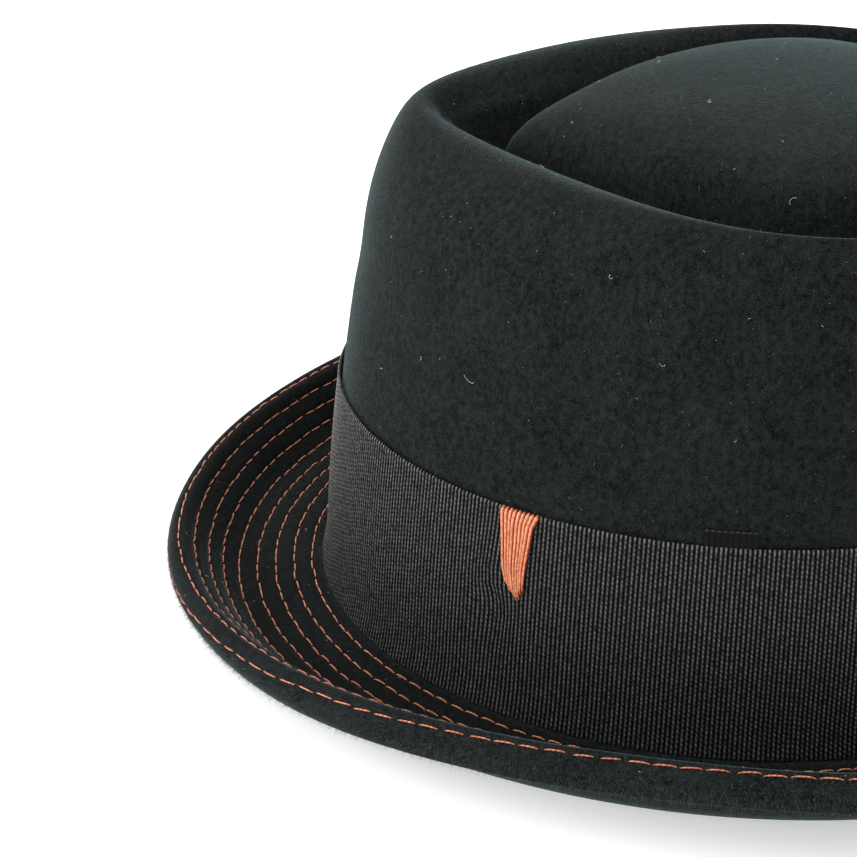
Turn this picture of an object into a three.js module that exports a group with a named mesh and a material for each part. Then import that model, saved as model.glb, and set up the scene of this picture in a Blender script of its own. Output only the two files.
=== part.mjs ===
// Porkpie hat in wool felt, millimetres: +Z up, front of the hat at -Y, wearer's left at +X.
// The felt is one hollow shell (brim, side wall, teardrop crown); a ribbed band and a thread wedge sit on it.
import * as THREE from "three";

const HEAD_WIDTH = 171; // ribbon outside, across, at its lower edge
const HEAD_LENGTH = 202; // ribbon outside, front to back, at its lower edge
const BAND_HEIGHT = 52; // ribbon, lower edge to upper edge
const CROWN_HEIGHT = 119.5; // crest of the crown rim above the ribbon's lower edge
const FELT = 2.4; // felt wall
const RIBBON = 0.9; // ribbon with its ribs
const GAP = 0.3; // clearance kept between two pieces
const FLARE = 1.2; // how far the ribbon's lower edge stands out over the brim break
const FLARE_HEIGHT = 10; // part of the ribbon that flares
const SIDE_LEAN = 0.0466; // side wall leans in, mm per mm of height, at the sides
const END_LEAN = 0.034; // and at the front and back
const END_CURVE = 0.12; // where the lean also grows with height, by this share at the crown's crest
const SIDE_SHOULDER = 19; // height of the roll from side wall to rim crest, at the sides
const END_SHOULDER = 34; // and at the front and back
const ROW_PITCH = 4.74; // spacing of the stitch rows along the brim felt
const BASE = 4.1; // ribbon's lower edge above the floor
const BRIM_DROP = 0.35; // start of the brim's upper face below the ribbon's lower edge
const AROUND = 56; // stations round the hat
const SELVEDGE = 0.45; // thin upper edge of the ribbon
const END_TAB = 4.2; // how far the ribbon's inner end stands above the ribbon
const TAB_FROM = -1.4; // stations, in degrees, between which that end shows
const TAB_TO = 5.6;
const WEDGE_WIDTH = 9;
const WEDGE_DROP = 21.6;
const WEDGE_AT = -25.7; // station of the wedge, in degrees
const THREAD = 0.6; // thickness of the stitched wedge

const WALL_HALF_WIDTH = HEAD_WIDTH / 2 - GAP - RIBBON - FLARE;
const WALL_HALF_LENGTH = HEAD_LENGTH / 2 - GAP - RIBBON - FLARE;
const BREAK = GAP + RIBBON + FLARE; // felt wall to the start of the brim
const radians = THREE.MathUtils.degToRad;

// Slope of the brim felt in degrees along its length, counted in stitch-row pitches from the ribbon.
const BRIM_SLOPES = [
  { reach: 0.27, side: -8, end: -3 },
  { reach: 1.05, side: -6, end: -5 },
  { reach: 2.05, side: 2, end: -6 },
  { reach: 3.06, side: 21, end: -6 },
  { reach: 4.05, side: 40, end: -2 },
  { reach: 5.04, side: 53, end: 33 },
  { reach: 6.05, side: 65, end: 45 },
  { reach: 7.05, side: 71, end: 39 },
  { reach: 8.05, side: 61, end: 39 },
  { reach: 9.05, side: 34, end: -50 },
  { reach: 9.9, side: -50, end: -115 },
  { reach: 10.6, side: -73, end: -138 },
  { reach: 11.3, side: -86, end: -150 },
];
const BRIM_RINGS = [
  11, 10.7, 10.4, 10.1, 9.8, 9.5, 9.2, 8.85, 8.4, 7.55, 6.55, 5.55, 4.8, 4.05, 3.3, 2.55, 1.55, 0.55, 0,
];

// Turn from brim to side wall: distance out from the wall and height above the ribbon's lower edge, as shares of
// the distance from the wall to the start of the brim.
const BREAK_RINGS = [
  { out: 0.5, height: -0.11 },
  { out: 0.15, height: 0.08 },
  { out: 0, height: 0.58 },
];

// Teardrop rings of the crown top from the rim's inner lip over the gutter to the raised centre.
// width and length are shares of the head's, shift is a share of its length, narrow is how much narrower than an
// oval the front tip is, height a share of the crown's, and dip the share by which the front tip lies lower.
const TOP_RINGS = [
  { width: 0.925, length: 0.692, shift: 0.01, narrow: 0.76, height: 0.955, dip: 0 },
  { width: 0.861, length: 0.664, shift: 0.011, narrow: 0.76, height: 0.912, dip: 0 },
  { width: 0.82, length: 0.635, shift: 0.012, narrow: 0.76, height: 0.88, dip: 0 },
  { width: 0.79, length: 0.61, shift: 0.012, narrow: 0.76, height: 0.868, dip: 0.006 },
  { width: 0.767, length: 0.587, shift: 0.013, narrow: 0.76, height: 0.885, dip: 0.017 },
  { width: 0.751, length: 0.567, shift: 0.015, narrow: 0.76, height: 0.929, dip: 0.034 },
  { width: 0.734, length: 0.543, shift: 0.015, narrow: 0.75, height: 0.981, dip: 0.05 },
  { width: 0.697, length: 0.506, shift: 0.015, narrow: 0.71, height: 1.017, dip: 0.054 },
  { width: 0.597, length: 0.43, shift: 0.015, narrow: 0.57, height: 1.038, dip: 0.038 },
  { width: 0.418, length: 0.304, shift: 0.015, narrow: 0.33, height: 1.052, dip: 0.018 },
  { width: 0.207, length: 0.152, shift: 0.015, narrow: 0, height: 1.058, dip: 0.004 },
];
const CENTRE = { shift: 0.015, height: 1.06 };
const ROLL_ANGLES = [0, 20, 42, 65, 90, 112]; // rings round the rim's roll, from the side wall
const LIP_ANGLE = 130; // where the roll meets the first ring of the crown top

// Outline of the thread wedge: share of its drop, then left and right edges as shares of its width.
const WEDGE_EDGES = [
  { down: 0, left: -0.5, right: 0.5 },
  { down: 0.12, left: -0.5, right: 0.34 },
  { down: 0.35, left: -0.51, right: 0.27 },
  { down: 0.55, left: -0.5, right: 0.22 },
  { down: 0.68, left: -0.46, right: 0.19 },
  { down: 0.8, left: -0.34, right: 0.13 },
  { down: 0.95, left: -0.2, right: 0.07 },
  { down: 1, left: -0.1, right: 0.02 },
];

// Point at station t on the felt wall's oval at a height above the ribbon's lower edge, moved out square to it.
function onWall(t, height, out) {
  const a = WALL_HALF_WIDTH - SIDE_LEAN * height;
  const b = WALL_HALF_LENGTH - (END_LEAN + (END_CURVE * height) / CROWN_HEIGHT) * height;
  const normal = new THREE.Vector2(Math.cos(t) / a, Math.sin(t) / b).normalize();
  return new THREE.Vector3(
    a * Math.cos(t) + out * normal.x,
    b * Math.sin(t) + out * normal.y,
    BASE + height,
  );
}

// Slope of the brim at a reach and station: straight between table rows, sides and ends shared by cos squared.
function brimSlope(reach, t) {
  const next = BRIM_SLOPES.findIndex((row) => row.reach > reach);
  const b = BRIM_SLOPES[next < 0 ? BRIM_SLOPES.length - 1 : next];
  const a = BRIM_SLOPES[next < 0 ? BRIM_SLOPES.length - 1 : Math.max(next - 1, 0)];
  const share = b.reach > a.reach ? (reach - a.reach) / (b.reach - a.reach) : 0;
  const side = a.side + share * (b.side - a.side);
  const end = a.end + share * (b.end - a.end);
  const sideShare = Math.cos(t) ** 2;
  return radians(side * sideShare + end * (1 - sideShare));
}

// Point on the brim's upper face, its slope summed in short steps from the ribbon outwards.
function onBrim(t, reach) {
  const steps = Math.max(Math.ceil(reach * 8), 1);
  const step = reach / steps;
  let out = BREAK;
  let height = -BRIM_DROP;
  for (let i = 0; i < steps; i++) {
    const slope = brimSlope((i + 0.5) * step, t);
    out += Math.cos(slope) * step * ROW_PITCH;
    height += Math.sin(slope) * step * ROW_PITCH;
  }
  return onWall(t, 0, out).setZ(BASE + height);
}

// Point on a teardrop ring of the crown top.
function onTop(t, ring) {
  const forward = (1 - Math.sin(t)) / 2;
  return new THREE.Vector3(
    (ring.width * HEAD_WIDTH * Math.cos(t) * (1 - ring.narrow * forward ** 2)) / 2,
    ((ring.shift + ring.length * Math.sin(t)) * HEAD_LENGTH) / 2,
    BASE + (ring.height - ring.dip * forward ** 4) * CROWN_HEIGHT,
  );
}

const shoulderAt = (t) => SIDE_SHOULDER + (END_SHOULDER - SIDE_SHOULDER) * Math.sin(t) ** 2;

// Point on the rim's roll between the top of the side wall and the inner lip.
function onRoll(t, angle) {
  const turn = radians(angle);
  const share = (1 - Math.cos(turn)) / (1 - Math.cos(radians(LIP_ANGLE)));
  const foot = onWall(t, CROWN_HEIGHT - shoulderAt(t), 0);
  const point = foot.lerp(onTop(t, TOP_RINGS[0]), share);
  return point.setZ(BASE + CROWN_HEIGHT - shoulderAt(t) * (1 - Math.sin(turn)));
}

function mesh(name, colour, points, faces) {
  const geometry = new THREE.BufferGeometry();
  geometry.setAttribute("position", new THREE.Float32BufferAttribute(points.flatMap((p) => p.toArray()), 3));
  geometry.setIndex(faces);
  geometry.computeVertexNormals();
  const made = new THREE.Mesh(geometry, new THREE.MeshStandardMaterial({ color: colour, roughness: 0.9 }));
  made.name = name;
  return made;
}

// Felt shell: rings of the upper face from the brim's edge to the crown's centre, and the same rings one wall
// thickness inside, joined at the brim's edge. The underside is flat where the brim stands on the floor.
function feltBody() {
  const stations = Array.from({ length: AROUND }, (_, j) => (2 * Math.PI * j) / AROUND);
  const rings = [
    ...BRIM_RINGS.map((reach) => stations.map((t) => onBrim(t, reach))),
    ...BREAK_RINGS.map((ring) => stations.map((t) => onWall(t, ring.height * BREAK, ring.out * BREAK))),
    ...[BAND_HEIGHT / 2, BAND_HEIGHT, BAND_HEIGHT * 1.4].map((height) => stations.map((t) => onWall(t, height, 0))),
    ...ROLL_ANGLES.map((angle) => stations.map((t) => onRoll(t, angle))),
    ...TOP_RINGS.map((ring) => stations.map((t) => onTop(t, ring))),
  ];
  const last = rings.length - 1;
  const inner = rings.map((ring, i) =>
    ring.map((point, j) => {
      const along = rings[Math.min(i + 1, last)][j].clone().sub(rings[Math.max(i - 1, 0)][j]);
      const round = ring[(j + 1) % AROUND].clone().sub(ring[(j + AROUND - 1) % AROUND]);
      const inside = point.clone().addScaledVector(round.cross(along).normalize(), -FELT);
      return inside.setZ(Math.max(inside.z, 0));
    }),
  );
  const centre = new THREE.Vector3(0, (CENTRE.shift * HEAD_LENGTH) / 2, BASE + CENTRE.height * CROWN_HEIGHT);
  const points = [...rings.flat(), centre, ...inner.flat(), centre.clone().setZ(centre.z - FELT)];
  const under = rings.length * AROUND + 1;
  const faces = [];
  for (let j = 0; j < AROUND; j++) {
    const k = (j + 1) % AROUND;
    faces.push(j, under + j, under + k, j, under + k, k);
    for (let i = 0; i < last; i++) {
      const a = i * AROUND + j;
      const b = i * AROUND + k;
      faces.push(a, b, a + AROUND, b, b + AROUND, a + AROUND);
      faces.push(under + a, under + a + AROUND, under + b, under + b, under + a + AROUND, under + b + AROUND);
    }
    const a = last * AROUND + j;
    const b = last * AROUND + k;
    faces.push(a, b, under - 1, under + a, 2 * under - 1, under + b);
  }
  return mesh("felt_body", 0x1b2021, points, faces);
}

const flareAt = (height) => FLARE * Math.max(1 - height / FLARE_HEIGHT, 0) ** 2;

// Ribbon: one closed loop with a thin selvedge at the top, drawn up where its inner end stands above it.
function hatBand() {
  const even = Array.from({ length: AROUND }, (_, j) => (360 * j) / AROUND - 180);
  const tabEdges = [TAB_FROM - 0.2, TAB_FROM, TAB_TO, TAB_TO + 0.2];
  const stations = [...even, ...tabEdges].sort((a, b) => a - b);
  const outer = GAP + RIBBON;
  const points = stations.flatMap((degrees) => {
    const t = radians(degrees);
    const top = BAND_HEIGHT + (degrees >= TAB_FROM && degrees <= TAB_TO ? END_TAB : SELVEDGE);
    return [
      onWall(t, 0, outer + flareAt(0)),
      onWall(t, FLARE_HEIGHT * 0.4, outer + flareAt(FLARE_HEIGHT * 0.4)),
      onWall(t, FLARE_HEIGHT, outer),
      onWall(t, BAND_HEIGHT / 2, outer),
      onWall(t, BAND_HEIGHT, outer),
      onWall(t, BAND_HEIGHT, GAP + SELVEDGE),
      onWall(t, top, GAP + SELVEDGE),
      onWall(t, top, GAP),
      onWall(t, BAND_HEIGHT / 2, GAP),
      onWall(t, FLARE_HEIGHT, GAP),
      onWall(t, FLARE_HEIGHT * 0.4, GAP + flareAt(FLARE_HEIGHT * 0.4)),
      onWall(t, 0, GAP + flareAt(0)),
    ];
  });
  const section = points.length / stations.length;
  const faces = stations.flatMap((_, i) =>
    Array.from({ length: section }, (__, k) => {
      const here = i * section;
      const next = ((i + 1) % stations.length) * section;
      const up = (k + 1) % section;
      return [here + k, next + k, next + up, here + k, next + up, here + up];
    }).flat(),
  );
  return mesh("hat_band", 0x2b2d2f, points, faces);
}

// Thread wedge: a thin plate that follows the ribbon, laid from the ribbon's upper edge down.
function wedgeTack() {
  const across = [0, 0.25, 0.5, 0.75, 1];
  const perDegree = onWall(radians(WEDGE_AT - 0.5), BAND_HEIGHT, 0).distanceTo(
    onWall(radians(WEDGE_AT + 0.5), BAND_HEIGHT, 0),
  );
  const face = (out) =>
    WEDGE_EDGES.flatMap((row) =>
      across.map((share) => {
        const along = (row.left + share * (row.right - row.left)) * WEDGE_WIDTH;
        const t = radians(WEDGE_AT + along / perDegree);
        return onWall(t, BAND_HEIGHT - row.down * WEDGE_DROP, 2 * GAP + RIBBON + out);
      }),
    );
  const points = [...face(THREAD), ...face(0)];
  const columns = across.length;
  const back = points.length / 2;
  const faces = [];
  for (let i = 0; i < WEDGE_EDGES.length - 1; i++)
    for (let j = 0; j < columns - 1; j++) {
      const a = i * columns + j;
      const c = a + columns;
      faces.push(a, c, a + 1, a + 1, c, c + 1);
      faces.push(back + a, back + a + 1, back + c, back + a + 1, back + c + 1, back + c);
    }
  const rim = [
    ...across.map((_, j) => j),
    ...WEDGE_EDGES.map((_, i) => i * columns + columns - 1),
    ...across.map((_, j) => back - 1 - j),
    ...WEDGE_EDGES.map((_, i) => back - columns * (i + 1)),
  ].filter((v, i, all) => v !== all[(i + 1) % all.length]);
  rim.forEach((a, i) => {
    const b = rim[(i + 1) % rim.length];
    faces.push(a, b, back + b, a, back + b, back + a);
  });
  return mesh("wedge_tack", 0xc8703f, points, faces);
}

const hat = new THREE.Group();
hat.name = "porkpie_hat";
hat.add(feltBody(), hatBand(), wedgeTack());

export default hat;
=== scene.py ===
import bpy
import numpy as np
from mathutils import Matrix, Vector


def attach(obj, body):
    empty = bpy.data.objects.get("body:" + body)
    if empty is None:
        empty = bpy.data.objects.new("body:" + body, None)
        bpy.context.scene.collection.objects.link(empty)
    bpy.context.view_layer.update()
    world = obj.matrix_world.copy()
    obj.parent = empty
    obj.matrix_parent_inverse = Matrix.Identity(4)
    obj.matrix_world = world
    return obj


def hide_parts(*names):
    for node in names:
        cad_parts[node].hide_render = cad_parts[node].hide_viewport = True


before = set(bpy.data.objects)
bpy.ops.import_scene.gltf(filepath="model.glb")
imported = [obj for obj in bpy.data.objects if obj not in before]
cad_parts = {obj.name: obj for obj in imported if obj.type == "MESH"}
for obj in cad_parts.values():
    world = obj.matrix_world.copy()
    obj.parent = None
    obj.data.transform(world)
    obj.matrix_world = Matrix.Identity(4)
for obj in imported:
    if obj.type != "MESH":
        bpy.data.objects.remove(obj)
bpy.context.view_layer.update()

# Felt body: one piece of wool felt, blocked into a teardrop crown with a curled brim. The brim's raw edge is
# rolled down all round, and each row of stitching pulls a shallow channel into the felt.

HEAD_WIDTH = 171.0
HEAD_LENGTH = 202.0
BAND_HEIGHT = 52.0
CROWN_HEIGHT = 119.5
FELT = 2.4
RIBBON = 0.9
GAP = 0.3
FLARE = 1.2
SIDE_LEAN = 0.0466
END_LEAN = 0.034
END_CURVE = 0.105
SIDE_SHOULDER = 19.0
END_SHOULDER = 34.0
LIP_ANGLE = 130.0
KEPT_LEAN = 0.5
ROW_PITCH = 4.74
FIRST_ROW = 0.55
ROWS = 10
BASE = 4.1
BRIM_DROP = 0.35
CHANNEL_HALF_WIDTH = 0.6
CHANNEL_DEPTH = 0.45
CHANNEL_SHADE = 0.42
PUFF = 0.12
SWAY = 0.16
EDGE_BULGE = 0.7
BREAK = GAP + RIBBON + FLARE
WALL_HALF_WIDTH = HEAD_WIDTH / 2 - BREAK
WALL_HALF_LENGTH = HEAD_LENGTH / 2 - BREAK

# reach in row pitches, slope in degrees at the sides, slope at the front and back
BRIM_SLOPES = np.array([
    (0.27, -8, -3), (1.05, -6, -5), (2.05, 2, -6), (3.06, 21, -6), (4.05, 40, -2), (5.04, 53, 33),
    (6.05, 65, 45), (7.05, 71, 39), (8.05, 61, 39), (9.05, 34, -50), (9.9, -50, -115), (10.5, -80, -136),
    (11.4, -112, -152),
])
BRIM_END = 11.3
BRIM_STEPS = 550
BRIM_RINGS = 106

# turn from brim to side wall: distance out and height as shares of BREAK
BREAK_RINGS = np.array([(0.5, -0.11), (0.15, 0.08), (0.0, 0.58), (0.0, 2.5)])

# width, length, shift, narrowing of the front tip, height, dip of the front tip, from the lip to the centre
TOP_RINGS = np.array([
    (0.925, 0.692, 0.010, 0.76, 0.955, 0), (0.861, 0.664, 0.011, 0.76, 0.912, 0),
    (0.820, 0.635, 0.012, 0.76, 0.880, 0), (0.790, 0.610, 0.012, 0.76, 0.868, 0.006),
    (0.767, 0.587, 0.013, 0.76, 0.885, 0.017), (0.751, 0.567, 0.015, 0.76, 0.929, 0.034),
    (0.734, 0.543, 0.015, 0.75, 0.981, 0.050), (0.697, 0.506, 0.015, 0.71, 1.017, 0.054),
    (0.597, 0.430, 0.015, 0.57, 1.038, 0.038), (0.418, 0.304, 0.015, 0.33, 1.052, 0.018),
    (0.207, 0.152, 0.015, 0.00, 1.058, 0.004), (0.0, 0.0, 0.015, 0.00, 1.060, 0),
])


def smooth(knots, values, at):
    """Curve through values at the knots: cubic pieces, each knot's slope the mean of the slopes of the two
    chords beside it, weighted by the other chord's length."""
    step = np.diff(knots)
    rows = step.reshape((-1,) + (1,) * (values.ndim - 1))
    chord = np.diff(values, axis=0) / rows
    inner = (rows[:-1] * chord[1:] + rows[1:] * chord[:-1]) / (rows[:-1] + rows[1:])
    slope = np.concatenate([chord[:1], inner, chord[-1:]])
    i = np.clip(np.searchsorted(knots, at, "right") - 1, 0, len(step) - 1)
    h = rows[i]
    u = ((at - knots[i]) / step[i]).reshape(h.shape)
    return (
        (2 * u**3 - 3 * u**2 + 1) * values[i] + (u**3 - 2 * u**2 + u) * h * slope[i]
        + (3 * u**2 - 2 * u**3) * values[i + 1] + (u**3 - u**2) * h * slope[i + 1]
    )


def wall(t, height, out):
    """Oval of the felt's side wall: half axes shrink with height, the long one also with its square, and the
    point is moved out along the oval's normal."""
    a = WALL_HALF_WIDTH - SIDE_LEAN * height
    b = WALL_HALF_LENGTH - (END_LEAN + END_CURVE * height / CROWN_HEIGHT) * height
    nx, ny = np.cos(t) / a, np.sin(t) / b
    n = np.hypot(nx, ny)
    x = a * np.cos(t) + out * nx / n
    y = b * np.sin(t) + out * ny / n
    return np.stack([x, y, np.broadcast_to(BASE + height, x.shape)], -1)


def brim(t, reach):
    """Upper face of the brim: the slope table is summed along the felt from the ribbon outwards, giving
    distance out and height; sides and ends share the slope by the cosine squared of the station. One ring for
    each reach."""
    fine = np.linspace(0, BRIM_END, BRIM_STEPS + 1)
    middle = np.clip((fine[1:] + fine[:-1]) / 2, BRIM_SLOPES[0, 0], BRIM_SLOPES[-1, 0])
    table = np.radians(smooth(BRIM_SLOPES[:, 0], BRIM_SLOPES[:, 1:], middle))
    side = np.cos(t) ** 2
    slope = table[:, :1] * side + table[:, 1:] * (1 - side)
    length = ROW_PITCH * (fine[1] - fine[0])
    zero = np.zeros((1, len(t)))
    out = BREAK + length * np.concatenate([zero, np.cumsum(np.cos(slope), 0)])
    height = -BRIM_DROP + length * np.concatenate([zero, np.cumsum(np.sin(slope), 0)])
    at = np.clip(reach / fine[1], 0, BRIM_STEPS)
    low = np.minimum(at.astype(int), BRIM_STEPS - 1)
    share = (at - low)[:, None]
    out = out[low] * (1 - share) + out[low + 1] * share
    height = height[low] * (1 - share) + height[low + 1] * share
    points = wall(np.broadcast_to(t, out.shape), 0.0, out)
    points[..., 2] = BASE + height
    return points


def teardrop(t, ring):
    """Ring of the crown top: an oval narrowed towards the front by the square of how far forward the point
    is; the front tip dips by the fourth power."""
    width, length, shift, narrow, height, dip = ring
    forward = (1 - np.sin(t)) / 2
    return np.stack([
        width * HEAD_WIDTH / 2 * np.cos(t) * (1 - narrow * forward**2),
        (shift + length * np.sin(t)) * HEAD_LENGTH / 2,
        BASE + (height - dip * forward**4) * CROWN_HEIGHT,
    ], -1)


def roll(t, angle):
    """Roll of the rim: an elliptic arc from the top of the side wall, of whose lean it keeps a share, to the
    crown top's first ring."""
    shoulder = SIDE_SHOULDER + (END_SHOULDER - SIDE_SHOULDER) * np.sin(t) ** 2
    share = (1 - np.cos(angle)) / (1 - np.cos(np.radians(LIP_ANGLE)))
    foot = wall(t, CROWN_HEIGHT - shoulder * (1 - KEPT_LEAN * np.sin(angle)), 0.0)
    points = foot + share * (teardrop(t, TOP_RINGS[0]) - foot)
    points[..., 2] = BASE + CROWN_HEIGHT - shoulder * (1 - np.sin(angle))
    return points


def unit(v):
    """Vectors divided by their length."""
    return v / np.linalg.norm(v, axis=-1, keepdims=True)


def grid_normals(points):
    """Outward normals of a grid of rings that closes round: across the ring, times along the rings."""
    along = np.gradient(points, axis=0)
    across = np.roll(points, -1, 1) - np.roll(points, 1, 1)
    return unit(np.cross(across, along))


def ring_faces(rings, stations, first=0):
    """Quads between each ring and the next, closed round the stations."""
    i, j = np.meshgrid(np.arange(rings - 1), np.arange(stations), indexing="ij")
    k = (j + 1) % stations
    quads = np.stack([i * stations + j, i * stations + k, (i + 1) * stations + k, (i + 1) * stations + j], -1)
    return first + quads.reshape(-1, 4)


def make_piece(name, points, faces, finish, slot, replaces=(), uv=None):
    """A mesh from points in millimetres and arrays of faces, which rides on the hat; its slot is not used."""
    mesh = bpy.data.meshes.new(name)
    corners = np.concatenate([f.ravel() for f in faces]).astype(np.int32)
    counts = np.concatenate([np.full(len(f), f.shape[1]) for f in faces]).astype(np.int32)
    mesh.vertices.add(len(points))
    mesh.vertices.foreach_set("co", (points * 0.001).astype(np.float32).ravel())
    mesh.loops.add(len(corners))
    mesh.loops.foreach_set("vertex_index", corners)
    mesh.polygons.add(len(counts))
    mesh.polygons.foreach_set("loop_start", np.concatenate([[0], np.cumsum(counts)[:-1]]).astype(np.int32))
    mesh.update(calc_edges=True)
    mesh.validate()
    mesh.polygons.foreach_set("use_smooth", np.ones(len(mesh.polygons), bool))
    if uv is not None:
        layer = mesh.uv_layers.new(name="weave")
        layer.data.foreach_set("uv", uv.astype(np.float32).ravel())
    mesh.materials.append(finish)
    piece = bpy.data.objects.new(name, mesh)
    bpy.context.scene.collection.objects.link(piece)
    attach(piece, "root")
    if replaces:
        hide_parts(*replaces)
    return piece


class Value:
    """A number or colour on its way to the shader; arithmetic on it adds Math nodes to its finish."""

    def __init__(self, finish, socket):
        self.finish = finish
        self.socket = socket

    def join(self, operation, first, second):
        return self.finish.node("ShaderNodeMath", {"operation": operation}, {0: first, 1: second})

    def __add__(self, other):
        return self.join("ADD", self, other)

    def __radd__(self, other):
        return self.join("ADD", other, self)

    def __sub__(self, other):
        return self.join("SUBTRACT", self, other)

    def __rsub__(self, other):
        return self.join("SUBTRACT", other, self)

    def __mul__(self, other):
        return self.join("MULTIPLY", self, other)

    def __rmul__(self, other):
        return self.join("MULTIPLY", other, self)

    def __pow__(self, other):
        return self.join("POWER", self, other)


class Finish:
    """A material while it is made: constants go on the shader's own sockets, node() adds any other node."""

    def __init__(self, name, **constants):
        self.material = bpy.data.materials.new(name)
        self.material.use_nodes = True
        self.tree = self.material.node_tree
        self.shader = self.tree.nodes["Principled BSDF"]
        for socket, value in constants.items():
            self.shader.inputs[socket.replace("_", " ")].default_value = value

    def node(self, kind, settings=None, inputs=None, out=0):
        """One more node: its type, its settings, then the values or links of its sockets."""
        made = self.tree.nodes.new(kind)
        for key, value in (settings or {}).items():
            setattr(made, key, value)
        for key, value in (inputs or {}).items():
            if isinstance(value, Value):
                self.tree.links.new(value.socket, made.inputs[key])
            else:
                made.inputs[key].default_value = value
        return Value(self, made.outputs[out])

    def feed(self, socket, value):
        """Link a value to one of the shader's own sockets."""
        self.tree.links.new(value.socket, self.shader.inputs[socket])

    def mix(self, share, first, second):
        """Two colours mixed by a share."""
        return self.node("ShaderNodeMix", {"data_type": "RGBA"}, {0: share, 6: first, 7: second}, 2)


# Black wool felt with a green cast: short matted fibres, so green and brown blacks are mixed at a quarter of
# a millimetre, in clumps of a millimetre or so and, faintly, in clouds of a centimetre; its pile catches
# light at the edges. Between the stitch rows, from the ribbon to the brim's crest, its colour is darkened as
# painted shade, by the map's second coordinate.
felt = Finish(
    "black_wool_felt", Roughness=0.95, Specular_IOR_Level=0.08, Sheen_Weight=0.33, Sheen_Roughness=0.13,
    Sheen_Tint=(0.58, 0.90, 0.88, 1),
)
place = felt.node("ShaderNodeTexCoord", out="Object")
combed = felt.node("ShaderNodeVectorMath", {"operation": "MULTIPLY"}, {0: place, 1: (1, 1, 0.8)})
fibre = felt.node(
    "ShaderNodeTexNoise", {}, {"Vector": combed, "Scale": 3600.0, "Detail": 2.0, "Roughness": 0.6},
)
clump = felt.node(
    "ShaderNodeTexNoise", {}, {"Vector": combed, "Scale": 700.0, "Detail": 3.0, "Roughness": 0.6},
)
cloud = felt.node("ShaderNodeTexNoise", {}, {"Vector": place, "Scale": 70.0, "Detail": 2.0})
stain = felt.node("ShaderNodeTexNoise", {}, {"Vector": place, "Scale": 1500.0, "Detail": 2.0})
hue = felt.node("ShaderNodeMapRange", {}, {0: stain, 1: 0.42, 2: 0.6, 3: 0.0, 4: 1.0})
blend = fibre * 0.5 + clump * 0.38 + cloud * 0.12
tone = felt.node("ShaderNodeMapRange", {}, {0: blend, 1: 0.39, 2: 0.65, 3: 0.0, 4: 1.0})
# share of painted shade on the inner brim, read from the map's second coordinate
brim_shade_share = felt.node("ShaderNodeSeparateXYZ", {}, {"Vector": felt.node("ShaderNodeTexCoord", out="UV")}, "Y")
light = felt.mix(hue, (0.0135, 0.0202, 0.0202, 1), (0.0200, 0.0190, 0.0186, 1))
felt.feed("Base Color", felt.mix(tone * (1.0 - brim_shade_share), (0.0008, 0.0012, 0.0014, 1), light))
bumps = fibre * 0.7 + clump * 0.5
felt.feed("Normal", felt.node("ShaderNodeBump", {}, {"Strength": 0.6, "Distance": 0.0004, "Height": bumps}))

STATIONS = 272
around = np.arange(STATIONS) * 2 * np.pi / STATIONS
row_reach = FIRST_ROW + np.arange(ROWS)

brim_reach = np.linspace(BRIM_END, 0, BRIM_RINGS)
turn_start = brim(around, np.array([0.2, 0.1, 0.0]))
turn_up = np.array([wall(around, h, o) for o, h in BREAK_RINGS * BREAK])
side = np.array([wall(around, h, 0.0) for h in (26.0, 52.0, 72.8)])
rim = np.array([roll(around, a) for a in np.radians(np.arange(0, LIP_ANGLE - 5, 12))])
top = np.array([teardrop(around, ring) for ring in TOP_RINGS])
rest = np.concatenate([turn_start, turn_up, side, rim, top])
travel = np.concatenate([[0], np.cumsum(np.linalg.norm(np.diff(rest, axis=0), axis=-1).mean(1))])
start = travel[len(turn_start) - 1]
rim_start = travel[len(turn_start) + len(turn_up) + len(side)]
# rings half a millimetre apart in the turn, 2.2 on the side wall, 1.3 over rim and gutter, 3 on the island
stops = np.concatenate([
    np.arange(start + 0.5, start + 7, 0.5), np.arange(start + 7, rim_start, 2.2),
    np.arange(rim_start, travel[-4], 1.3), np.arange(travel[-4], travel[-1] - 1, 3),
])
upper = np.concatenate([brim(around, brim_reach), smooth(travel, rest, stops)])
normals = grid_normals(upper)
reach_of = np.concatenate([brim_reach, np.zeros(len(stops))])

channels = np.exp(-(((reach_of[:, None] - row_reach) * ROW_PITCH / CHANNEL_HALF_WIDTH) ** 2)).sum(1)
puff = np.where(reach_of > 0.3, PUFF, 0.0)
x, y, z = upper[..., 0], upper[..., 1], upper[..., 2]
sway = np.sin(x / 13 + 1.3) * np.sin(y / 17 + 0.5) + 0.6 * np.sin(y / 9 + z / 11) * np.sin(x / 21 - z / 8)
free = np.clip((z - BASE - BAND_HEIGHT - 1) / 12, 0, 1) + np.clip((reach_of[:, None] - 1) / 3, 0, 1)
lift = (puff - CHANNEL_DEPTH * channels)[:, None] + SWAY * sway * free
felt_top = upper + normals * lift[..., None]

brim_count = len(brim_reach)
under_pick = np.unique(np.concatenate([
    np.arange(0, brim_count, 3), np.arange(brim_count, len(upper), 2), [len(upper) - 1],
]))
felt_under = upper[under_pick] - FELT * normals[under_pick]
felt_under[..., 2] = np.maximum(felt_under[..., 2], 0.0)
edge_out = unit(upper[0] - upper[1])
turn = np.radians([-60, -25, 12, 45, 72])[:, None, None]
middle = upper[0] - normals[0] * FELT / 2
felt_edge = middle + FELT / 2 * (np.sin(turn) * normals[0] + EDGE_BULGE * np.cos(turn) * edge_out)
shell = np.concatenate([felt_under[::-1], felt_edge, felt_top])
centre = top[-1, 0]
points = np.concatenate([shell.reshape(-1, 3), [centre - (0, 0, FELT)], [centre]])
poles = len(points) - 2
j = np.arange(STATIONS)
k = (j + 1) % STATIONS
last = (len(shell) - 1) * STATIONS
caps = np.concatenate([
    np.stack([j * 0 + poles, k, j], 1), np.stack([last + j, last + k, j * 0 + poles + 1], 1),
])
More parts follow.
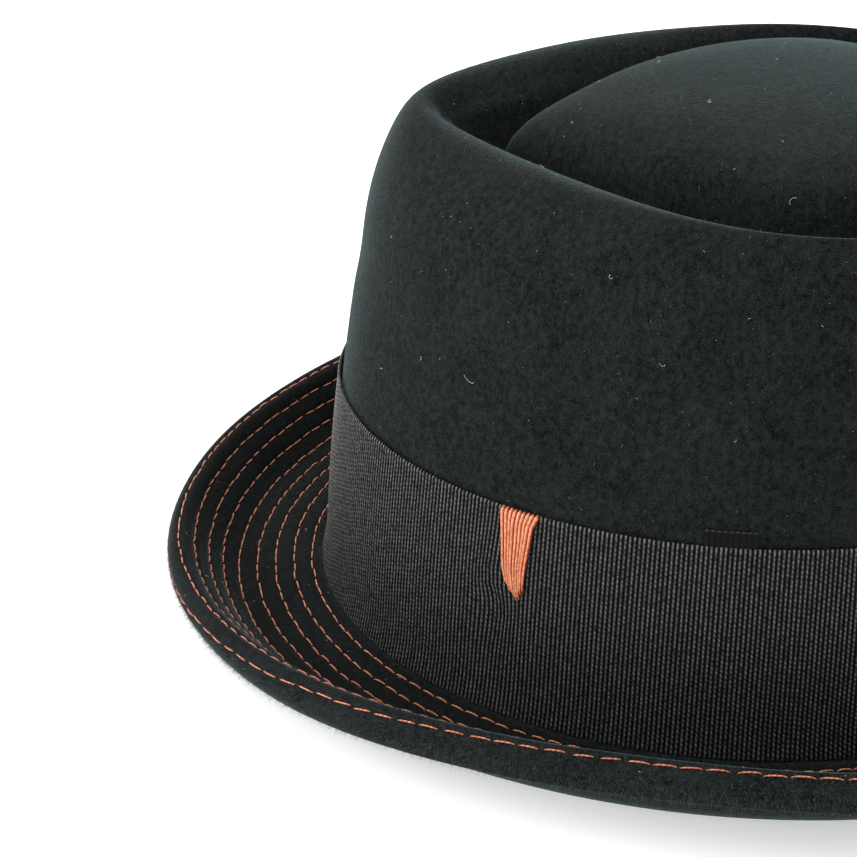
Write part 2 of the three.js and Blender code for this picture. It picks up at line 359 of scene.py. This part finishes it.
# painted shade on the felt: from the ribbon's edge to the crest of the brim
painted_brim_shade = CHANNEL_SHADE * np.clip((reach_of - 0.1) * 5, 0, 1) * np.clip(9.2 - reach_of, 0, 1)
painted_brim_shade = np.concatenate([np.zeros(len(felt_under) + len(felt_edge)), painted_brim_shade])
i, j = np.meshgrid(np.arange(len(shell) - 1), np.arange(STATIONS), indexing="ij")
uv = np.stack([(j[..., None] + [0, 1, 1, 0]) / STATIONS, painted_brim_shade[i[..., None] + [0, 0, 1, 1]]], -1)
uv = np.concatenate([uv.reshape(-1, 2), np.zeros((caps.size, 2))])
make_piece(
    "felt_shell", points, [ring_faces(len(shell), STATIONS), caps], felt.material, "felt", ["felt_body"], uv,
)

# Nap: the loose wool fibres that stand off the felt, on the crown, on and under the brim, and longest on its
# rolled edge, with pale ones among them. Each is a flat strip a few hundredths of a millimetre wide, rooted
# in the felt; they are sown by area with fixed seeds.

nap = Finish("felt_nap", Roughness=0.75, Specular_IOR_Level=0.3, Base_Color=(0.026, 0.034, 0.035, 1))
# the fibres on the rolled edge are coloured lighter than the rest: painted rim light
edge_nap = Finish(
    "felt_edge_nap", Roughness=0.75, Specular_IOR_Level=0.3, Base_Color=(0.050, 0.066, 0.066, 1),
)
pale_nap = Finish("pale_fibres", Roughness=0.6, Specular_IOR_Level=0.3, Base_Color=(0.19, 0.21, 0.20, 1))
ROOT_DEPTH = 0.05
FLOOR_CLEARANCE = 0.02


def sow(seed, points, normals, count):
    """Random places on a grid of rings, in proportion to area: a cell is drawn by its share of the area, then
    a point inside it by mixing its four corners."""
    chance = np.random.default_rng(seed)
    d = np.cross(points[1:] - points[:-1], (np.roll(points, -1, 1) - points)[:-1])
    share = np.cumsum(np.linalg.norm(d, axis=-1).ravel())
    cell = np.searchsorted(share, chance.random(count) * share[-1])
    i, j = np.divmod(cell, points.shape[1])
    k = (j + 1) % points.shape[1]
    u, v = chance.random((2, count, 1))
    mixed = [
        (1 - u) * ((1 - v) * g[i, j] + v * g[i, k]) + u * ((1 - v) * g[i + 1, j] + v * g[i + 1, k])
        for g in (points, normals)
    ]
    return mixed[0], unit(mixed[1]), chance


def strands(root, normal, chance, length, stand, width):
    """Each strand leaves its root between the surface and the normal, bends over halfway, and narrows to a
    point: two corners at the root, two halfway, one at the tip."""
    count = len(root)
    side = unit(np.cross(normal, chance.normal(size=(count, 3))))
    flat = np.cross(normal, side)
    reach = (length * (0.45 + chance.exponential(0.45, count)))[:, None]
    rise = np.clip(stand + 0.22 * chance.normal(size=count), 0.04, 0.95)[:, None]
    first = unit(normal * rise + flat * (1 - rise))
    bend = chance.normal(size=(count, 3)) * 0.45
    second = unit(first + bend + normal * 0.05)
    half = root + first * reach * 0.5
    tip = half + second * reach * 0.5
    w = side * width / 2
    sunk = root - normal * ROOT_DEPTH
    points = np.stack([sunk - w, sunk + w, half + w * 0.8, half - w * 0.8, tip], 1)
    points[..., 2] = np.maximum(points[..., 2], FLOOR_CLEARANCE)
    at = np.arange(count)[:, None] * 5
    return points.reshape(-1, 3), [at + [[0, 1, 2, 3]], at + [[3, 2, 4]]]


RINGS_TO_BAND_TOP = 34
EDGE_RINGS = 19
UNDER_RINGS = 22
FLAT_RINGS = slice(16, 100)
crown_rings = slice(brim_count + RINGS_TO_BAND_TOP, None)
edge_grid = np.concatenate([felt_edge, felt_top[:EDGE_RINGS]])
under_grid = felt_under[:UNDER_RINGS]
# name, grid and its normals, seed, how many, length, share of the length that stands up, width, finish
for name, grid, face, seed, count, length, stand, width, finish in (
    ("nap_crown", felt_top[crown_rings], normals[crown_rings], 3, 50000, 0.8, 0.36, 0.036, nap),
    ("nap_brim", felt_top[FLAT_RINGS], normals[FLAT_RINGS], 5, 20000, 0.7, 0.3, 0.036, nap),
    ("nap_under", under_grid, -grid_normals(under_grid), 7, 16000, 0.6, 0.4, 0.036, nap),
    ("nap_pale", felt_top, normals, 13, 10000, 0.45, 0.5, 0.05, pale_nap),
    ("nap_edge", edge_grid, grid_normals(edge_grid), 9, 46000, 1.2, 0.85, 0.045, edge_nap),
):
    root, normal, chance = sow(seed, grid, face, count)
    make_piece(name, *strands(root, normal, chance, length, stand, width), finish.material, "felt")

# Band: two inches of ribbed ribbon drawn tight round the crown, its lower edge standing out over the turn of
# the brim. The ribs run top to bottom, one a millimetre, bound by cross threads that show as beads; they are
# drawn aside where a tack beside the wedge's tip catches the ribbon. Its colour carries painted highlights on
# the rib crests, the beads and the top edge, and painted shade in the valleys and lower down towards the
# brim.

RIB = 1.04
RIB_DEPTH = 0.4
BINDING = 1.18
WEDGE_AT = -25.7
TACK_AT = -29.3
TACK_HEIGHT = 30.0
FLARE_HEIGHT = 10.0
ribbon = Finish("ribbed_black_ribbon", Specular_IOR_Level=0.1, Sheen_Weight=0.06, Sheen_Roughness=0.3)
weave = ribbon.node("ShaderNodeTexCoord", out="UV")
rib_at = ribbon.node("ShaderNodeSeparateXYZ", {}, {"Vector": weave}, "X")
bound_at = ribbon.node("ShaderNodeSeparateXYZ", {}, {"Vector": weave}, "Y")
rib_number = ribbon.node("ShaderNodeMath", {"operation": "FLOOR"}, {0: rib_at})
odd = ribbon.node("ShaderNodeTexWhiteNoise", {"noise_dimensions": "1D"}, {"W": rib_number})
bound = (bound_at + odd * 0.45 + rib_at * 0.6) * (2 * np.pi)
bind = ribbon.node("ShaderNodeMath", {"operation": "SINE"}, {0: bound})
# crests lighter and valleys darker across each rib: painted highlight and painted shade; also sets roughness
arch = ribbon.node("ShaderNodeMath", {"operation": "SINE"}, {0: rib_at * np.pi})
crown = arch * arch
here = ribbon.node("ShaderNodeTexCoord", out="Object")
wear = ribbon.node("ShaderNodeTexNoise", {}, {"Vector": here, "Scale": 800.0, "Detail": 3.0})
# painted highlight along the ribbon's top edge
hem_highlight = ribbon.node("ShaderNodeMapRange", {}, {0: bound_at * BINDING, 1: 51.0, 2: 52.0, 3: 0.0, 4: 0.5})
# painted highlight on each bead of the cross threads
bead_highlight = ribbon.node("ShaderNodeMapRange", {}, {0: bind, 1: -0.75, 2: 0.5, 3: 0.38, 4: 1.0})
# painted shade: the ribbon's colour darkens lower down, towards the brim
painted_low_shade = ribbon.node("ShaderNodeMapRange", {}, {0: bound_at * BINDING, 1: 2.0, 2: 36.0, 3: 0.7, 4: 1.03})
# painted highlights on crests, beads and top edge, varied at random by noise, with painted shade low down
light = crown**3.0 * (bead_highlight + hem_highlight) * (wear * 3.2 - 0.7) * painted_low_shade
ribbon.feed("Base Color", ribbon.mix(light, (0.0024, 0.0027, 0.0026, 1), (0.124, 0.126, 0.119, 1)))
ribbon.feed("Roughness", ribbon.node("ShaderNodeMapRange", {}, {0: crown, 1: 0.2, 2: 1.0, 3: 0.9, 4: 0.34}))
relief = ribbon.node("ShaderNodeBump", {}, {"Strength": 0.7, "Distance": 0.0002, "Height": bind})
ribbon.feed("Normal", relief)


def even_stations(height, out, count):
    """Stations on the wall's oval with the same length of ribbon between each two, and the whole length."""
    fine = np.linspace(0, 2 * np.pi, 7201)
    path = wall(fine, height, out)
    length = np.concatenate([[0], np.cumsum(np.linalg.norm(np.diff(path, axis=0), axis=-1))])
    return np.interp(np.linspace(0, length[-1], count), length, fine), length[-1]


def flare(height):
    """How far the band stands out low down: the square of the share of the flare's height still above."""
    return FLARE * np.clip(1 - height / FLARE_HEIGHT, 0, 1) ** 2


def tack_pull(t, height):
    """How far the tack draws the ribs along the ribbon, to the front above it and to the back below, and how
    deep it pulls them in; both fade with distance as a bell curve."""
    across = (t - np.radians(TACK_AT) + np.pi) % (2 * np.pi) - np.pi
    across = across * WALL_HALF_WIDTH
    up = height - TACK_HEIGHT
    near = np.exp(-((across / 4.2) ** 2) - (up / 13) ** 2)
    pit = np.exp(-((across / 0.9) ** 2) - (up / 1.8) ** 2)
    return -1.1 * np.tanh(up / 3.5) * near, -0.55 * pit


# stations to a rib
STEPS = 6
girth = even_stations(BAND_HEIGHT / 2, GAP + RIBBON, 2)[1]
RIBS = int(girth / RIB)
stations = even_stations(BAND_HEIGHT / 2, GAP + RIBBON, RIBS * STEPS + 1)[0][:-1]
crest = np.abs(np.sin(np.pi * np.arange(RIBS * STEPS) / STEPS))
INSIDE = GAP + 0.25
OUTSIDE = GAP + RIBBON
# height, distance out from the felt wall, how much of the rib's depth shows
section = [
    (0.25, INSIDE, 0), (0.0, OUTSIDE - 0.3, 0.5), (0.05, OUTSIDE - 0.1, 0.9), (0.5, OUTSIDE, 1),
    (2, OUTSIDE, 1), (4, OUTSIDE, 1), (6.5, OUTSIDE, 1), (10, OUTSIDE, 1), (15, OUTSIDE, 1), (20, OUTSIDE, 1),
    (25, OUTSIDE, 1), (28, OUTSIDE, 1), (30, OUTSIDE, 1), (32, OUTSIDE, 1), (36, OUTSIDE, 1),
    (41, OUTSIDE, 1), (46, OUTSIDE, 1), (50.9, OUTSIDE, 1), (51.7, OUTSIDE + 0.08, 0.9),
    (52.2, OUTSIDE, 0.8), (52.4, OUTSIDE - 0.3, 0.5),
    (52.0, INSIDE, 0), (26, INSIDE, 0), (10, INSIDE, 0), (4, INSIDE, 0),
]
rows = []
for height, out, ribbed in section:
    aside, pit = tack_pull(stations, height)
    t = stations + ribbed * aside / WALL_HALF_WIDTH
    row = wall(t, height, out + flare(height) + ribbed * (pit - RIB_DEPTH * (1 - crest)))
    row[:, 2] += 0.25 * (crest - 0.6) * (height > 51)
    rows.append(row)
count = len(rows)
band_points = np.array(rows).reshape(-1, 3)
faces = ring_faces(count + 1, len(stations)) % len(band_points)
corner = np.array([(0, 0), (0, 1), (1, 1), (1, 0)])
i, j = np.meshgrid(np.arange(count), np.arange(len(stations)), indexing="ij")
tall = np.array([height for height, out, ribbed in section + section[:1]]) / BINDING
uv = np.stack([(j[..., None] + corner[:, 0]) / STEPS, tall[i[..., None] + corner[:, 1]]], -1).reshape(-1, 2)
faces = faces[:, [0, 3, 2, 1]]
band = make_piece("band", band_points, [faces], ribbon.material, "ribbon", ["hat_band"], uv)

# Inner end of the ribbon: it stands four millimetres above the band on the wearer's left, cut square and held
# between felt and band, its ribs closed by small loops along the top that carry a painted highlight.

selvedge = Finish("dull_ribbon_end", Roughness=0.8, Specular_IOR_Level=0.1)
end_place = selvedge.node("ShaderNodeTexCoord", out="Object")
end_height = selvedge.node("ShaderNodeSeparateXYZ", {}, {"Vector": end_place}, "Z")
# foot and top of the painted highlight on the loops, above the floor
FOOT, TOP = 59.9, 60.3
# painted highlight on the loops along the top
loop = selvedge.node("ShaderNodeMapRange", {}, {0: end_height * 1000.0, 1: FOOT, 2: TOP, 3: 0.0, 4: 1.0})
selvedge.feed("Base Color", selvedge.mix(loop, (0.0040, 0.0045, 0.0044, 1), (0.024, 0.027, 0.026, 1)))
TAB_RIBS = 9
TAB_DEGREES = (-1.4, 5.6)
tab_t = np.radians(np.linspace(*TAB_DEGREES, TAB_RIBS * STEPS + 1))
tab_crest = np.abs(np.sin(np.pi * np.arange(TAB_RIBS * STEPS + 1) / STEPS))
tab_rows = []
for height, out, ribbed in (
    (49.5, GAP + 0.36, 1), (51, GAP + 0.36, 1), (53, GAP + 0.42, 1), (55.5, GAP + 0.42, 1),
    (55.9, GAP + 0.5, 0.8), (56.2, GAP + 0.25, 0.4), (56.1, GAP + 0.04, 0), (53, GAP + 0.04, 0),
    (49.5, GAP + 0.04, 0),
):
    row = wall(tab_t, height, out - 0.3 * ribbed * (1 - tab_crest))
    row[:, 2] += 0.3 * (tab_crest - 0.6) * (height > 55)
    tab_rows.append(row)
tab_rows = np.array(tab_rows)
many, count = tab_rows.shape[:2]
i, j = np.meshgrid(np.arange(many), np.arange(count - 1), indexing="ij")
n = (i + 1) % many
tab_faces = np.stack([i * count + j, i * count + j + 1, n * count + j + 1, n * count + j], -1).reshape(-1, 4)
ends = np.stack([np.arange(many)[::-1] * count, np.arange(many) * count + count - 1])
band_end = make_piece(
    "band_end", tab_rows.reshape(-1, 3), [tab_faces, ends], selvedge.material, "ribbon", ["hat_band"],
)

# Stitch rows: ten rows of running stitch in rust thread round the brim. Each stitch is a short length of
# twisted thread that rises out of the felt, lies in its channel and goes back in; the outermost row is sewn
# longer.

THREAD = 0.19
thread = Finish(
    "rust_thread", Roughness=0.38, Specular_IOR_Level=0.5, Sheen_Weight=0.25, Sheen_Roughness=0.35,
    Sheen_Tint=(1.0, 0.72, 0.58, 1),
)
turns = thread.node("ShaderNodeTexCoord", out="UV")
round_at = thread.node("ShaderNodeSeparateXYZ", {}, {"Vector": turns}, "X")
along_at = thread.node("ShaderNodeSeparateXYZ", {}, {"Vector": turns}, "Y")
twist = thread.node("ShaderNodeMath", {"operation": "SINE"}, {0: (round_at + along_at) * (2 * np.pi)})
spot = thread.node(
    "ShaderNodeTexNoise", {}, {"Vector": thread.node("ShaderNodeTexCoord", out="Object"), "Scale": 1500.0},
)
# painted light: each thread is coloured lighter along its top, away from the felt, and deep red down its
# sides and underside, with twist and noise as real variation
painted_top_light = thread.node("ShaderNodeMath", {"operation": "COSINE"}, {0: round_at * (2 * np.pi)})
twist_and_painted_light = painted_top_light * 0.5 + twist * 0.14 + spot * 0.7
shade = thread.node("ShaderNodeMapRange", {}, {0: twist_and_painted_light, 1: 0.56, 2: 1.1, 3: 0.0, 4: 1.0})
thread.feed("Base Color", thread.mix(shade, (0.28, 0.028, 0.006, 1), (0.86, 0.360, 0.170, 1)))
strand = thread.node("ShaderNodeBump", {}, {"Strength": 0.6, "Distance": 0.0001, "Height": twist})
thread.feed("Normal", strand)


def tubes(paths, normal, radius, sides, turn_length):
    """Round threads along many paths of the same number of points: each ring is the path's point plus the
    radius times the cosine of the angle along the surface normal and its sine along the side. Ends are
    capped."""
    many, steps = paths.shape[:2]
    ahead = unit(np.gradient(paths, axis=1))
    side = unit(np.cross(ahead, normal))
    up = np.cross(side, ahead)
    angle = np.arange(sides) * 2 * np.pi / sides
    ring = np.cos(angle)[:, None] * up[:, :, None] + np.sin(angle)[:, None] * side[:, :, None]
    points = (paths[:, :, None] + radius[..., None, None] * ring).reshape(-1, 3)
    one = ring_faces(steps, sides)
    first = np.arange(many)[:, None, None] * steps * sides
    body = (first + one).reshape(-1, 4)
    cap = np.stack([np.arange(sides)[::-1], (steps - 1) * sides + np.arange(sides)])
    caps = (first + cap).reshape(-1, sides)
    i, j = np.meshgrid(np.arange(steps - 1), np.arange(sides), indexing="ij")
    run = np.linalg.norm(np.diff(paths, axis=1), axis=-1).mean() / turn_length
    one_uv = np.stack([(j[..., None] + [0, 1, 1, 0]) / sides, (i[..., None] + [0, 0, 1, 1]) * run], -1)
    uv = np.concatenate([np.tile(one_uv.reshape(-1, 2), (many, 1)), np.zeros((caps.size, 2))])
    return points, [body, caps], uv


chance = np.random.default_rng(11)
STITCH = 4.3
OUTER_STITCH = 5.6
DROP = np.array([-0.6, -0.1, 0.0, 0.04, 0.01, -0.08, -0.58])
places, ups = [], []
for reach in row_reach:
    fine = np.linspace(0, 2 * np.pi, 2881)
    line = brim(fine, np.array([reach]))[0]
    length = np.concatenate([[0], np.cumsum(np.linalg.norm(np.diff(line, axis=0), axis=-1))])
    pitch = OUTER_STITCH if reach == row_reach[-1] else STITCH
    count = int(round(length[-1] / pitch))
    begin = (np.arange(count) + chance.random() + 0.05 * chance.normal(size=count)) * length[-1] / count
    span = pitch * (0.92 + 0.03 * chance.normal(size=count))
    s = (begin[:, None] + span[:, None] * np.linspace(0, 1, len(DROP))) % length[-1]
    t = np.interp(s, length, fine).ravel()
    wander = 0.02 * chance.normal(size=(2, count, 1))
    aside = (wander[0] + wander[1] * np.linspace(-1, 1, len(DROP))).ravel()
    near = brim(t, np.array([reach - 0.03, reach, reach + 0.03]))
    beside = brim(t + 0.002, np.array([reach]))[0]
    outward = (near[2] - near[0]) / 0.06
    places.append((near[1] + outward * aside[:, None]).reshape(count, len(DROP), 3))
    ups.append(unit(np.cross(outward, beside - near[1])).reshape(count, len(DROP), 3))
places, ups = np.concatenate(places), np.concatenate(ups)
paths = places + ups * (DROP + 0.04 * chance.normal(size=(len(places), 1)))[..., None]
radius = np.broadcast_to(THREAD * np.array([0.6, 0.85, 1, 1, 1, 0.85, 0.6]), paths.shape[:2])
points, faces, uv = tubes(paths, ups, radius, 6, 0.95)
make_piece("brim_stitches", points, faces, thread.material, "thread", uv=uv)

# Thread wedge: a satin-stitched tack worked over the ribbon's upper edge on the wearer's left. Nine threads
# lie side by side and draw together to a point, the outer ones shorter.

WEDGE_WIDTH = 9.0
WEDGE_DROP = 21.6
WEDGE_EDGES = np.array([
    (0, -0.58, 0.44), (0.12, -0.55, 0.33), (0.35, -0.49, 0.28), (0.55, -0.45, 0.23), (0.68, -0.40, 0.21),
    (0.8, -0.31, 0.2), (0.9, -0.21, 0.18), (1.0, -0.11, 0.15),
])
THREADS = 9
WEDGE_THREAD = 0.53
WEDGE_LIFT = 0.4
# a turn in a metre, so no twist shows
UNTWISTED = 1000.0
share = np.linspace(0.05, 0.95, THREADS)
final = 1.0 - 0.13 * np.abs(2 * share - 1) ** 2.2 + 0.03 * chance.normal(size=THREADS)
down = np.linspace(-0.03, 1, 26)[None] * final[:, None]
left = np.interp(down, WEDGE_EDGES[:, 0], WEDGE_EDGES[:, 1])
right = np.interp(down, WEDGE_EDGES[:, 0], WEDGE_EDGES[:, 2])
slip = 0.012 * chance.normal(size=(THREADS, 1)) * np.sin(down * 3)
along = (left + (share[:, None] + slip) * (right - left)) * WEDGE_WIDTH
half_degree = wall(np.radians(WEDGE_AT + np.array([-0.5, 0.5])), BAND_HEIGHT, 0.0)
t = np.radians(WEDGE_AT + along / np.linalg.norm(half_degree[1] - half_degree[0]))
height = BAND_HEIGHT + 0.1 - np.maximum(down, 0) * WEDGE_DROP + np.where(down < 0, 0.25, 0)
layer = 0.08 * (np.arange(THREADS) % 2)[:, None] + 0.25 * np.clip(down - 0.5, 0, 1)
tuck = np.concatenate([[-0.75, -0.1], np.zeros(21), [-0.1, -0.35, -0.75]])
out = GAP + RIBBON + WEDGE_LIFT + layer + tuck
paths = wall(t, height, out)
outward = unit((wall(t, height, out + 1.0) - paths))
taper = np.concatenate([[0.7], np.linspace(1, 0.62, 22), [0.58, 0.5, 0.35]])
radius = np.broadcast_to(WEDGE_THREAD * taper, paths.shape[:2])
points, faces, uv = tubes(paths, outward, radius, 8, UNTWISTED)
wedge = make_piece("wedge_threads", points, faces, thread.material, "thread", ["wedge_tack"], uv)

# Lint: pale specks of fibre caught in the felt, and a few longer hairs that curl off it; each is a thin bent
# thread laid just off the felt.

lint = Finish("pale_lint", Roughness=0.6, Base_Color=(0.75, 0.77, 0.75, 1))
for name, seed, count, size, curl in (("lint_specks", 21, 420, 0.13, 0.7), ("lint_hairs", 27, 90, 0.75, 3.6)):
    root, normal, chance = sow(seed, felt_top, normals, count)
    bearing = unit(np.cross(normal, chance.normal(size=(count, 3))))
    sideways = np.cross(normal, bearing)
    half = size * (0.6 + chance.exponential(0.6, count))[:, None, None]
    bend = np.linspace(-0.5, 0.5, 9)[:, None] * curl * (0.4 + chance.random((count, 1, 1)))
    radius = half / (0.5 * curl)
    paths = root[:, None] + radius * (
        np.sin(bend) * bearing[:, None] + (np.cos(bend) - 1) * (sideways * 0.8 - normal * 0.35)[:, None]
    ) + 0.12 * normal[:, None]
    points, faces, uv = tubes(paths, np.repeat(normal[:, None], 9, 1), np.full((count, 9), 0.032), 3, 1.0)
    make_piece(name, points, faces, lint.material, "felt")

# Floor, lights and camera: a white table in soft studio light from above and from the hat's front, seen from
# the wearer's left.

paper = Finish(
    "white_table", Roughness=0.6, Specular_IOR_Level=0.2, Base_Color=(0.86, 0.86, 0.86, 1),
    Emission_Color=(1, 1, 1, 1), Emission_Strength=0.4,
)
floor_mesh = bpy.data.meshes.new("table_top")
HALF = 6
UNDER = -0.0002
table_corners = [(-HALF, -HALF, UNDER), (HALF, -HALF, UNDER), (HALF, HALF, UNDER), (-HALF, HALF, UNDER)]
floor_mesh.from_pydata(table_corners, [], [(0, 1, 2, 3)])
floor_mesh.materials.append(paper.material)
floor = bpy.data.objects.new("table_top", floor_mesh)
bpy.context.scene.collection.objects.link(floor)

world = bpy.data.worlds.new("studio")
bpy.context.scene.world = world
world.use_nodes = True
world.node_tree.nodes["Background"].inputs["Color"].default_value = (1, 1, 1, 1)
world.node_tree.nodes["Background"].inputs["Strength"].default_value = 1.32


def soft_light(name, place, aim, size, power):
    """A square lamp at a place in metres, turned to face the aim; its power is in watts."""
    lamp = bpy.data.lights.new(name, "AREA")
    lamp.shape = "SQUARE"
    lamp.size = size
    lamp.energy = power
    holder = bpy.data.objects.new(name, lamp)
    bpy.context.scene.collection.objects.link(holder)
    holder.location = place
    holder.rotation_euler = (Vector(aim) - Vector(place)).to_track_quat("-Z", "Y").to_euler()


soft_light("front_light", (0.45, -1.5, 0.75), (0, 0, 0.06), 0.8, 21)
soft_light("back_light", (-1.2, -0.5, 1.1), (0, 0, 0.08), 0.9, 12)

SIGHT = np.radians([9.07, 28.52])
DISTANCE = 507.5
AIM = np.array([0.0, -73.9, 30.7 + BASE])
FOCUS = 1978.0
back = np.array([np.cos(SIGHT[1]) * np.cos(SIGHT[0]), np.cos(SIGHT[1]) * np.sin(SIGHT[0]), np.sin(SIGHT[1])])
right = unit(np.cross(-back, [0, 0, 1]))
upward = np.cross(right, -back)
camera = bpy.data.cameras.new("camera")
camera.sensor_width = 36.0
camera.lens = FOCUS * 36.0 / 857
camera.clip_start = 0.01
eye = bpy.data.objects.new("camera", camera)
bpy.context.scene.collection.objects.link(eye)
eye.matrix_world = Matrix.Translation(Vector((AIM + DISTANCE * back) / 1000)) @ Matrix(
    np.stack([right, upward, back], 1).tolist()
).to_4x4()
bpy.context.scene.camera = eye
bpy.context.scene.view_settings.view_transform = "Standard"
